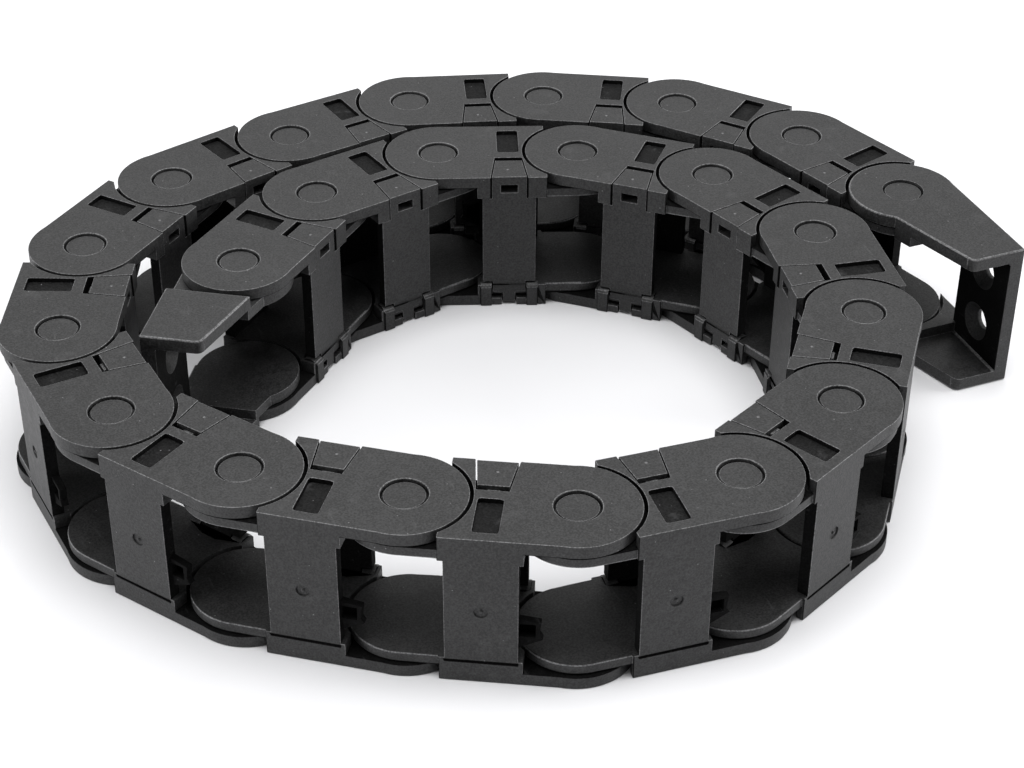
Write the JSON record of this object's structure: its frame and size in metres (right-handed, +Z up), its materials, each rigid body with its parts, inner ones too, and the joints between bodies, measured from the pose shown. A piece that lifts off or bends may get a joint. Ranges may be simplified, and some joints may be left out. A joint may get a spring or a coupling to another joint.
{
  "type": "cable drag chain",
  "caption": "Plastic cable drag chain with hinged links, lid bars that open and a screw bracket at each end, laid in a flat coil.",
  "frame": {"origin": "centre of the coil's plan box, on the surface it lies on", "axes": "+Z up, along the chain's width and all link hinges; +X out of the fixed bracket's mounting face; +Y along the fixed bracket towards the first link"},
  "size_m": [0.1984, 0.172, 0.032],
  "materials": {
    "black_nylon": "moulded black nylon, satin"
  },
  "bodies": {
    "fixed_end_bracket": {"fixed_end_bracket": "black_nylon"},
    "link_01": {"link_01": "black_nylon"},
    "link_02": {"link_02": "black_nylon"},
    "link_03": {"link_03": "black_nylon"},
    "link_04": {"link_04": "black_nylon"},
    "link_05": {"link_05": "black_nylon"},
    "link_06": {"link_06": "black_nylon"},
    "link_07": {"link_07": "black_nylon"},
    "link_08": {"link_08": "black_nylon"},
    "link_09": {"link_09": "black_nylon"},
    "link_10": {"link_10": "black_nylon"},
    "link_11": {"link_11": "black_nylon"},
    "link_12": {"link_12": "black_nylon"},
    "link_13": {"link_13": "black_nylon"},
    "link_14": {"link_14": "black_nylon"},
    "link_15": {"link_15": "black_nylon"},
    "link_16": {"link_16": "black_nylon"},
    "link_17": {"link_17": "black_nylon"},
    "link_18": {"link_18": "black_nylon"},
    "link_19": {"link_19": "black_nylon"},
    "link_20": {"link_20": "black_nylon"},
    "link_21": {"link_21": "black_nylon"},
    "lid_01": {"lid_01": "black_nylon"},
    "lid_02": {"lid_02": "black_nylon"},
    "lid_03": {"lid_03": "black_nylon"},
    "lid_04": {"lid_04": "black_nylon"},
    "lid_05": {"lid_05": "black_nylon"},
    "lid_06": {"lid_06": "black_nylon"},
    "lid_07": {"lid_07": "black_nylon"},
    "lid_08": {"lid_08": "black_nylon"},
    "lid_09": {"lid_09": "black_nylon"},
    "lid_10": {"lid_10": "black_nylon"},
    "lid_11": {"lid_11": "black_nylon"},
    "lid_12": {"lid_12": "black_nylon"},
    "lid_13": {"lid_13": "black_nylon"},
    "lid_14": {"lid_14": "black_nylon"},
    "lid_15": {"lid_15": "black_nylon"},
    "lid_16": {"lid_16": "black_nylon"},
    "lid_17": {"lid_17": "black_nylon"},
    "lid_18": {"lid_18": "black_nylon"},
    "lid_19": {"lid_19": "black_nylon"},
    "lid_20": {"lid_20": "black_nylon"},
    "lid_21": {"lid_21": "black_nylon"},
    "moving_end_bracket": {"moving_end_bracket": "black_nylon"}
  },
  "joints": [
    {"name": "hinge_01", "type": "hinge", "parent": "fixed_end_bracket", "child": "link_01", "pos_m": [0.08788, -0.00016, 0.016], "axis": [0, 0, -1], "range_deg": [0, 17]},
    {"name": "hinge_02", "type": "hinge", "parent": "link_01", "child": "link_02", "pos_m": [0.07911, 0.02853, 0.016], "axis": [0, 0, -1], "range_deg": [0, 22]},
    {"name": "hinge_03", "type": "hinge", "parent": "link_02", "child": "link_03", "pos_m": [0.06023, 0.05184, 0.016], "axis": [0, 0, -1], "range_deg": [0, 23]},
    {"name": "hinge_04", "type": "hinge", "parent": "link_03", "child": "link_04", "pos_m": [0.03374, 0.06593, 0.016], "axis": [0, 0, -1], "range_deg": [0, 11]},
    {"name": "hinge_05", "type": "hinge", "parent": "link_04", "child": "link_05", "pos_m": [0.00505, 0.0747, 0.016], "axis": [0, 0, -1], "range_deg": [0, 27]},
    {"name": "hinge_06", "type": "hinge", "parent": "link_05", "child": "link_06", "pos_m": [-0.02449, 0.06949, 0.016], "axis": [0, 0, -1], "range_deg": [0, 7]},
    {"name": "hinge_07", "type": "hinge", "parent": "link_06", "child": "link_07", "pos_m": [-0.05318, 0.06072, 0.016], "axis": [0, 0, -1], "range_deg": [0, 23]},
    {"name": "hinge_08", "type": "hinge", "parent": "link_07", "child": "link_08", "pos_m": [-0.07616, 0.04143, 0.016], "axis": [0, 0, -1], "range_deg": [0, 27]},
    {"name": "hinge_09", "type": "hinge", "parent": "link_08", "child": "link_09", "pos_m": [-0.08788, 0.01382, 0.016], "axis": [0, 0, -1], "range_deg": [0, 29]},
    {"name": "hinge_10", "type": "hinge", "parent": "link_09", "child": "link_10", "pos_m": [-0.08475, -0.01602, 0.016], "axis": [0, 0, -1], "range_deg": [0, 28]},
    {"name": "hinge_11", "type": "hinge", "parent": "link_10", "child": "link_11", "pos_m": [-0.06797, -0.04089, 0.016], "axis": [0, 0, -1], "range_deg": [0, 20]},
    {"name": "hinge_12", "type": "hinge", "parent": "link_11", "child": "link_12", "pos_m": [-0.0437, -0.05852, 0.016], "axis": [0, 0, -1], "range_deg": [0, 8]},
    {"name": "hinge_13", "type": "hinge", "parent": "link_12", "child": "link_13", "pos_m": [-0.01721, -0.07261, 0.016], "axis": [0, 0, -1], "range_deg": [0, 24]},
    {"name": "hinge_14", "type": "hinge", "parent": "link_13", "child": "link_14", "pos_m": [0.01272, -0.0747, 0.016], "axis": [0, 0, -1], "range_deg": [0, 30]},
    {"name": "hinge_15", "type": "hinge", "parent": "link_14", "child": "link_15", "pos_m": [0.03968, -0.06155, 0.016], "axis": [0, 0, -1], "range_deg": [0, 27]},
    {"name": "hinge_16", "type": "hinge", "parent": "link_15", "child": "link_16", "pos_m": [0.05773, -0.03759, 0.016], "axis": [0, 0, -1], "range_deg": [0, 27]},
    {"name": "hinge_17", "type": "hinge", "parent": "link_16", "child": "link_17", "pos_m": [0.06294, -0.00804, 0.016], "axis": [0, 0, -1], "range_deg": [0, 28]},
    {"name": "hinge_18", "type": "hinge", "parent": "link_17", "child": "link_18", "pos_m": [0.05367, 0.02049, 0.016], "axis": [0, 0, -1], "range_deg": [0, 31]},
    {"name": "hinge_19", "type": "hinge", "parent": "link_18", "child": "link_19", "pos_m": [0.03103, 0.04017, 0.016], "axis": [0, 0, -1], "range_deg": [0, 21]},
    {"name": "hinge_20", "type": "hinge", "parent": "link_19", "child": "link_20", "pos_m": [0.00284, 0.05043, 0.016], "axis": [0, 0, -1], "range_deg": [0, 32]},
    {"name": "hinge_21", "type": "hinge", "parent": "link_20", "child": "link_21", "pos_m": [-0.0265, 0.04419, 0.016], "axis": [0, 0, -1], "range_deg": [0, 29]},
    {"name": "hinge_22", "type": "hinge", "parent": "link_21", "child": "moving_end_bracket", "pos_m": [-0.04915, 0.02451, 0.016], "axis": [0, 0, -1], "range_deg": [0, 17]},
    {"name": "lid_01_hinge", "type": "hinge", "parent": "link_01", "child": "lid_01", "pos_m": [0.07422, 0.01135, 0.0032], "axis": [0.2924, -0.9563, 0], "range_deg": [0, 7]},
    {"name": "lid_02_hinge", "type": "hinge", "parent": "link_02", "child": "lid_02", "pos_m": [0.06213, 0.03408, 0.0032], "axis": [0.6293, -0.7771, 0], "range_deg": [0, 4]},
    {"name": "lid_03_hinge", "type": "hinge", "parent": "link_03", "child": "lid_03", "pos_m": [0.04243, 0.05032, 0.0032], "axis": [0.8829, -0.4695, 0], "range_deg": [0, 2]},
    {"name": "lid_04_hinge", "type": "hinge", "parent": "link_04", "child": "lid_04", "pos_m": [0.01656, 0.06104, 0.0032], "axis": [0.9563, -0.2924, 0], "range_deg": [0, 3]},
    {"name": "lid_05_hinge", "type": "hinge", "parent": "link_05", "child": "lid_05", "pos_m": [-0.00803, 0.06254, 0.0032], "axis": [0.9848, 0.1736, 0], "range_deg": [0, 2]},
    {"name": "lid_06_hinge", "type": "hinge", "parent": "link_06", "child": "lid_06", "pos_m": [-0.036, 0.05583, 0.0032], "axis": [0.9563, 0.2924, 0], "range_deg": [0, 2]},
    {"name": "lid_07_hinge", "type": "hinge", "parent": "link_07", "child": "lid_07", "pos_m": [-0.05844, 0.04365, 0.0032], "axis": [0.766, 0.6428, 0], "range_deg": [0, 15]},
    {"name": "lid_08_hinge", "type": "hinge", "parent": "link_08", "child": "lid_08", "pos_m": [-0.07309, 0.02384, 0.0032], "axis": [0.3907, 0.9205, 0], "range_deg": [0, 10]},
    {"name": "lid_09_hinge", "type": "hinge", "parent": "link_09", "child": "lid_09", "pos_m": [-0.07667, -0.00009, 0.0032], "axis": [-0.1045, 0.9945, 0], "range_deg": [0, 3]},
    {"name": "lid_10_hinge", "type": "hinge", "parent": "link_10", "child": "lid_10", "pos_m": [-0.06832, -0.02303, 0.0032], "axis": [-0.5592, 0.829, 0], "range_deg": [0, 90]},
    {"name": "lid_11_hinge", "type": "hinge", "parent": "link_11", "child": "lid_11", "pos_m": [-0.05013, -0.04186, 0.0032], "axis": [-0.809, 0.5878, 0], "range_deg": [0, 90]},
    {"name": "lid_12_hinge", "type": "hinge", "parent": "link_12", "child": "lid_12", "pos_m": [-0.0259, -0.057, 0.0032], "axis": [-0.8829, 0.4695, 0], "range_deg": [0, 90]},
    {"name": "lid_13_hinge", "type": "hinge", "parent": "link_13", "child": "lid_13", "pos_m": [-0.00157, -0.06398, 0.0032], "axis": [-0.9976, 0.0698, 0], "range_deg": [0, 90]},
    {"name": "lid_14_hinge", "type": "hinge", "parent": "link_14", "child": "lid_14", "pos_m": [0.02194, -0.0594, 0.0032], "axis": [-0.8988, -0.4384, 0], "range_deg": [0, 90]},
    {"name": "lid_15_hinge", "type": "hinge", "parent": "link_15", "child": "lid_15", "pos_m": [0.04096, -0.04373, 0.0032], "axis": [-0.6018, -0.7986, 0], "range_deg": [0, 90]},
    {"name": "lid_16_hinge", "type": "hinge", "parent": "link_16", "child": "lid_16", "pos_m": [0.05078, -0.02113, 0.0032], "axis": [-0.1736, -0.9848, 0], "range_deg": [0, 90]},
    {"name": "lid_17_hinge", "type": "hinge", "parent": "link_17", "child": "lid_17", "pos_m": [0.04908, 0.00323, 0.0032], "axis": [0.309, -0.9511, 0], "range_deg": [0, 90]},
    {"name": "lid_18_hinge", "type": "hinge", "parent": "link_18", "child": "lid_18", "pos_m": [0.03599, 0.02301, 0.0032], "axis": [0.7547, -0.6561, 0], "range_deg": [0, 90]},
    {"name": "lid_19_hinge", "type": "hinge", "parent": "link_19", "child": "lid_19", "pos_m": [0.01362, 0.03619, 0.0032], "axis": [0.9397, -0.342, 0], "range_deg": [0, 90]},
    {"name": "lid_20_hinge", "type": "hinge", "parent": "link_20", "child": "lid_20", "pos_m": [-0.00982, 0.03782, 0.0032], "axis": [0.9781, 0.2079, 0], "range_deg": [0, 90]},
    {"name": "lid_21_hinge", "type": "hinge", "parent": "link_21", "child": "lid_21", "pos_m": [-0.03146, 0.02703, 0.0032], "axis": [0.7547, 0.6561, 0], "range_deg": [0, 90]}
  ],
  "couplings": [
    {"joint": "hinge_01", "follows": "hinge_17", "ratio": 0.60714},
    {"joint": "hinge_02", "follows": "hinge_17", "ratio": 0.78571},
    {"joint": "hinge_03", "follows": "hinge_17", "ratio": 0.82143},
    {"joint": "hinge_04", "follows": "hinge_17", "ratio": 0.39286},
    {"joint": "hinge_05", "follows": "hinge_17", "ratio": 0.96428},
    {"joint": "hinge_06", "follows": "hinge_17", "ratio": 0.25},
    {"joint": "hinge_07", "follows": "hinge_17", "ratio": 0.82143},
    {"joint": "hinge_08", "follows": "hinge_17", "ratio": 0.96428},
    {"joint": "hinge_09", "follows": "hinge_17", "ratio": 1.0357},
    {"joint": "hinge_10", "follows": "hinge_17", "ratio": 1},
    {"joint": "hinge_11", "follows": "hinge_17", "ratio": 0.71428},
    {"joint": "hinge_12", "follows": "hinge_17", "ratio": 0.28571},
    {"joint": "hinge_13", "follows": "hinge_17", "ratio": 0.85714},
    {"joint": "hinge_14", "follows": "hinge_17", "ratio": 1.0714},
    {"joint": "hinge_15", "follows": "hinge_17", "ratio": 0.96428},
    {"joint": "hinge_16", "follows": "hinge_17", "ratio": 0.96428},
    {"joint": "hinge_18", "follows": "hinge_17", "ratio": 1.1071},
    {"joint": "hinge_19", "follows": "hinge_17", "ratio": 0.75},
    {"joint": "hinge_20", "follows": "hinge_17", "ratio": 1.1429},
    {"joint": "hinge_21", "follows": "hinge_17", "ratio": 1.0357},
    {"joint": "hinge_22", "follows": "hinge_17", "ratio": 0.60714}
  ]
}
